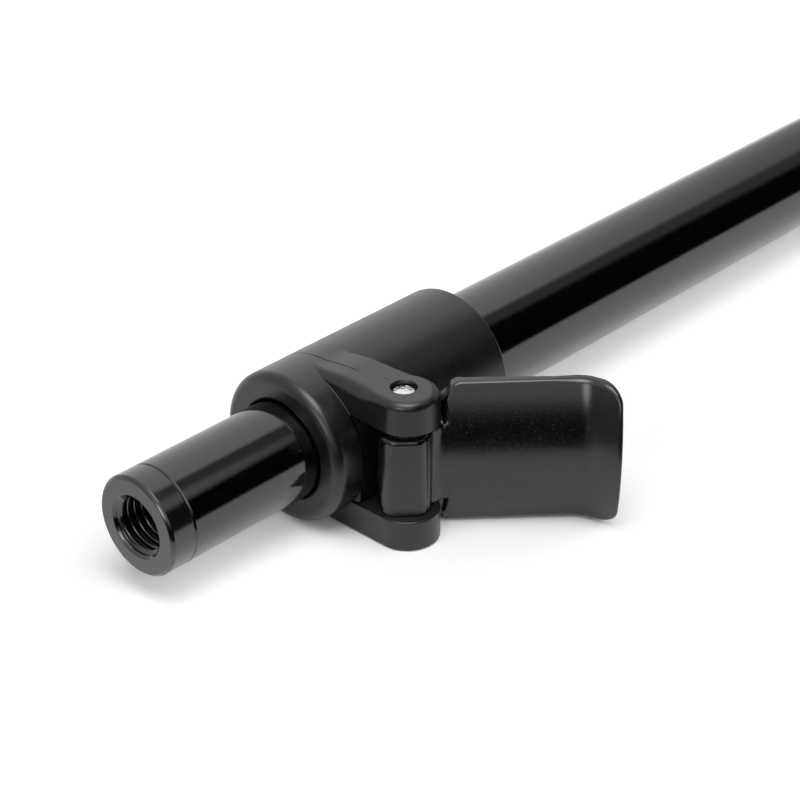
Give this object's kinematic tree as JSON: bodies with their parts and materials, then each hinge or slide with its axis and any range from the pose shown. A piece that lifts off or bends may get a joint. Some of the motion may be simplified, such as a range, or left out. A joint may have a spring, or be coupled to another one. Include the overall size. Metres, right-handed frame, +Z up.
{
  "type": "bank stick",
  "caption": "Telescopic bank stick: tube on a ground spike, sliding inner pole with a threaded head socket, moulded lock collar and swinging cam lever.",
  "frame": {"origin": "on the stick's axis, where the countersink of the head ends and the threaded socket begins", "axes": "+X along the stick from the threaded head to the ground spike, +Z up along the lever's pivot pin, the cam lever on the -Y side"},
  "size_m": [0.397, 0.0531, 0.0257],
  "materials": {
    "anodised_tube": "gloss black anodised drawn tube",
    "anodised_turned": "satin black anodised, turned",
    "moulded_nylon": "satin black moulded nylon with a fine speckle",
    "natural_nylon": "natural white nylon",
    "bright_steel": "bright steel, ends peened"
  },
  "bodies": {
    "outer": {"outer_tube": "anodised_tube", "lock_collar": "moulded_nylon", "pivot_pin": "bright_steel", "ground_spike": "anodised_turned", "spring_pin": "bright_steel"},
    "guide": {"guide_ring": "natural_nylon"},
    "pole": {"inner_tube": "anodised_tube", "head_insert": "anodised_turned", "guide_plug": "moulded_nylon"},
    "lever": {"cam_lever": "moulded_nylon"},
    "shoe": {"brake_shoe": "moulded_nylon"}
  },
  "joints": [
    {"name": "pole_slide", "type": "slide", "parent": "outer", "child": "guide", "axis": [-1, 0, 0], "range_m": [0, 0.25]},
    {"name": "pole_turn", "type": "hinge", "parent": "guide", "child": "pole", "pos_m": [0, 0, 0], "axis": [1, 0, 0], "continuous": true},
    {"name": "lever_pivot", "type": "hinge", "parent": "outer", "child": "lever", "pos_m": [0.0382, -0.01608, 0], "axis": [0, 0, 1], "range_deg": [-66, 44]},
    {"name": "shoe_press", "type": "slide", "parent": "outer", "child": "shoe", "axis": [0, 1, 0], "range_m": [-0.00042, 0.00028003]}
  ],
  "couplings": [
    {"joint": "shoe_press", "follows": "lever_pivot", "m_per_rad": 0.00036461}
  ]
}
